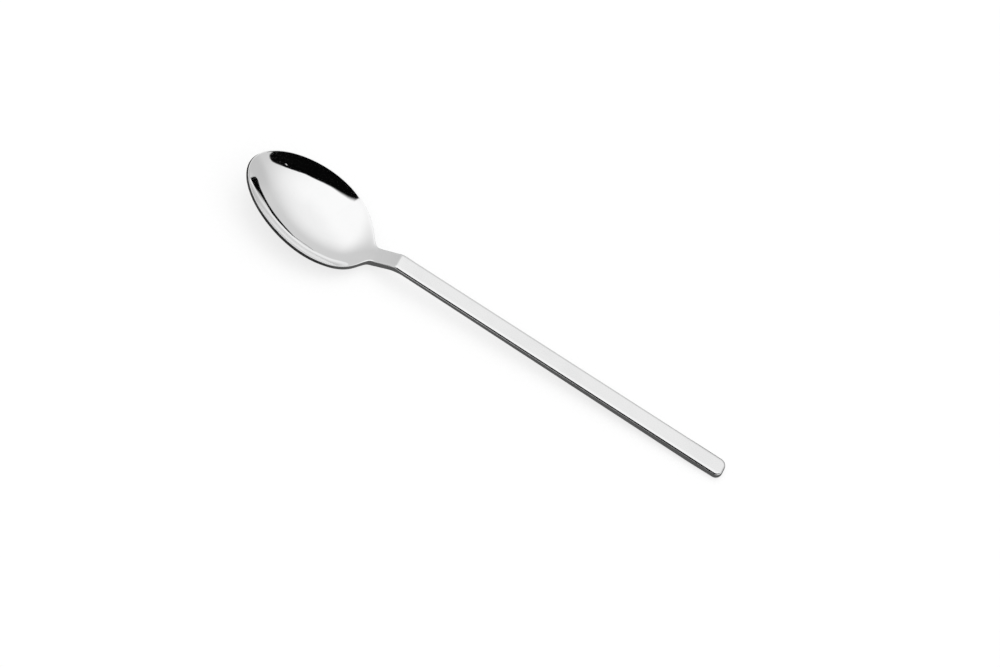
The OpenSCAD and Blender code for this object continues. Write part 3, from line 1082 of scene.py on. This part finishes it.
# %% Thin felt, and the strip on the left
THIN_STEPS, THIN_SOFT, THIN_LOW = 26, 0.01, -0.4
THIN_FELT = {150.6: 0.2, 152: 0.58, 153.3: 0.73, 154.7: 0.86, 155.6: 1}
thin_turn = card_turns(THIN_FELT, THIN_STEPS)
thin_strip = black_card(
    "thin_strip", thin_turn, np.full(THIN_STEPS, THIN_LOW), along_card(thin_turn, BACK_FOOT),
    THIN_SOFT, along_card(thin_turn, THIN_FELT),
)
LEFT_STEPS, LEFT_FROM, LEFT_TO, LEFT_LOW, LEFT_HIGH = 60, -142.0, -48.0, -0.3, 12.0
left_turn = np.linspace(LEFT_FROM, LEFT_TO, LEFT_STEPS)
left_strip = black_card(
    "left_strip", left_turn, np.full(LEFT_STEPS, LEFT_LOW), np.full(LEFT_STEPS, LEFT_HIGH),
)

# %% [markdown]
# The cards are covered with felt, which is nearly black with a faint nap. The felt isn't lit: its
# faint brightness is a painted glow, uneven with the nap. Where the border fades, the felt lets the
# tent through.

# %% The felt
# Painted glow: the felt takes no light, so its faint brightness is set as a glow
FELT_PAINTED_GLOW = (0.0005, 0.003)
felt, felt_tree = bare_material("black_felt")
felt_place = add(felt_tree, "ShaderNodeTexCoord").outputs["Object"]
fine_nap = {"Vector": felt_place, "Scale": 60.0, "Detail": 3.0}
nap = add(felt_tree, "ShaderNodeTexNoise", fine_nap).outputs["Fac"]
faint = remap(felt_tree, nap, *NOISE_LIMITS, *FELT_PAINTED_GLOW)
painted_felt_glow = add(felt_tree, "ShaderNodeEmission", {"Strength": faint}).outputs[0]
border = add(felt_tree, "ShaderNodeAttribute", attribute_name="fade").outputs["Fac"]
loose = add(felt_tree, "ShaderNodeBsdfTransparent").outputs[0]
cloth = add(felt_tree, "ShaderNodeMixShader", {0: border, 1: painted_felt_glow, 2: loose}).outputs[0]
set_surface(felt_tree, cloth)
for card in (front_card, back_strip, thin_strip, left_strip):
    card.data.materials.append(felt)
    print("felt on", card.name)

# %% [markdown]
# ### A small lamp
# One small round lamp hangs in front of the front card. It gives the dark shape in the bowl a tiny
# bright point, which tells the eye that the metal is wet-looking and smooth.

# %% The small lamp
SPOT_TURN, SPOT_RAISED, SPOT_SIZE = 88.0, 41.6, 0.72
SPOT_POINTS, SPOT_DISTANCE = 24, 0.98 * CARD_DISTANCE
spot_angle = np.linspace(0.0, 2.0 * math.pi, SPOT_POINTS + 1)[:-1]
spot_turn = SPOT_TURN + SPOT_SIZE * np.cos(spot_angle) / math.cos(math.radians(SPOT_RAISED))
spot_raised = SPOT_RAISED + SPOT_SIZE * np.sin(spot_angle)
spot_points = np.array(card_centre) + SPOT_DISTANCE * direction(spot_turn, spot_raised)
spot_mesh = bpy.data.meshes.new("small_lamp")
spot_mesh.from_pydata(spot_points.tolist(), [], [list(range(SPOT_POINTS))])
spot = show("small_lamp", spot_mesh)
only_steel_sees(spot)
print("small lamp at", SPOT_TURN, "degrees")

# %% [markdown]
# The lamp's front is frosted glass, which glows a little unevenly. It only has to shine for the
# steel, so its glow is set directly and it lights nothing else.

# %% The frosted glass
SPOT_GLOW = (0.7, 0.85)
frosted, spot_tree = bare_material("frosted_glass")
spot_place = add(spot_tree, "ShaderNodeTexCoord").outputs["Object"]
frost = add(spot_tree, "ShaderNodeTexNoise", {"Vector": spot_place, "Scale": 200.0}).outputs["Fac"]
uneven = remap(spot_tree, frost, *NOISE_LIMITS, *SPOT_GLOW)
shine = add(spot_tree, "ShaderNodeEmission", {"Strength": uneven}).outputs[0]
set_surface(spot_tree, shine)
spot.data.materials.append(frosted)
print("lamp front:", frosted.name)

# %% [markdown]
# ### A soft lamp
# One wide lamp high behind the spoon gives the table a soft shadow. The steel doesn't mirror it,
# because the tent already stands there.

# %% The lamp
LAMP_POWER, LAMP_SIZE, LAMP_PLACE = 14.0, 2.0, (-0.5, 0.9, 2.6)
lamp_data = bpy.data.lights.new("soft_overhead", "AREA")
lamp_data.energy, lamp_data.size = LAMP_POWER, LAMP_SIZE
lamp = show("soft_overhead", lamp_data)
lamp.location = LAMP_PLACE
lamp.rotation_mode = "QUATERNION"
lamp.rotation_quaternion = lamp.location.to_track_quat("Z", "Y")
lamp.visible_glossy = False
print("lamp", round(lamp.location.length, 2), "m away")

# %% [markdown]
# ## The camera
# The camera looks down on the spoon from in front and is rolled, so that the spoon lies diagonally
# in the picture. It stands well back with a long lens, which keeps the bar's edges almost
# parallel. It is set by where it looks, from which side, from how high, and how far it is rolled.

# %% The camera
LOOK_AT = Vector((6.202, -1.43, 5.0)) * MM
VIEW_AZIMUTH, VIEW_ELEVATION, VIEW_ROLL = (math.radians(v) for v in (-5.415, 53.452, 35.537))
VIEW_DISTANCE, LENS_MM, SENSOR_MM = 1.8, 198.75, 36.0
camera_data = bpy.data.cameras.new("photo_camera")
camera_data.lens, camera_data.sensor_width = LENS_MM, SENSOR_MM
camera = show("photo_camera", camera_data)
flat = math.cos(VIEW_ELEVATION)
back = Vector((math.sin(VIEW_AZIMUTH) * flat, -math.cos(VIEW_AZIMUTH) * flat, math.sin(VIEW_ELEVATION)))
right = Vector((math.cos(VIEW_AZIMUTH), math.sin(VIEW_AZIMUTH), 0.0))
up = back.cross(right)
rolled_right = math.cos(VIEW_ROLL) * right + math.sin(VIEW_ROLL) * up
rolled_up = -math.sin(VIEW_ROLL) * right + math.cos(VIEW_ROLL) * up
turn = Matrix((rolled_right, rolled_up, back)).transposed().to_4x4()
camera.matrix_world = Matrix.Translation(LOOK_AT + VIEW_DISTANCE * back) @ turn
bpy.context.scene.camera = camera
bpy.context.scene.view_settings.view_transform = "Standard"
print("camera at", [round(v, 3) for v in camera.matrix_world.translation])

# %% [markdown]
# ## Joining the frame
# Each skin stands for the node of the same place, which is hidden, and rides on the one body of the
# spoon.

# %% Tie the pieces to the frame
for piece, part in ((bowl, "bowl"), (neck, "neck"), (handle, "handle")):
    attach(piece, "root")
    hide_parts(part)
    print(piece.name, "stands for", part)
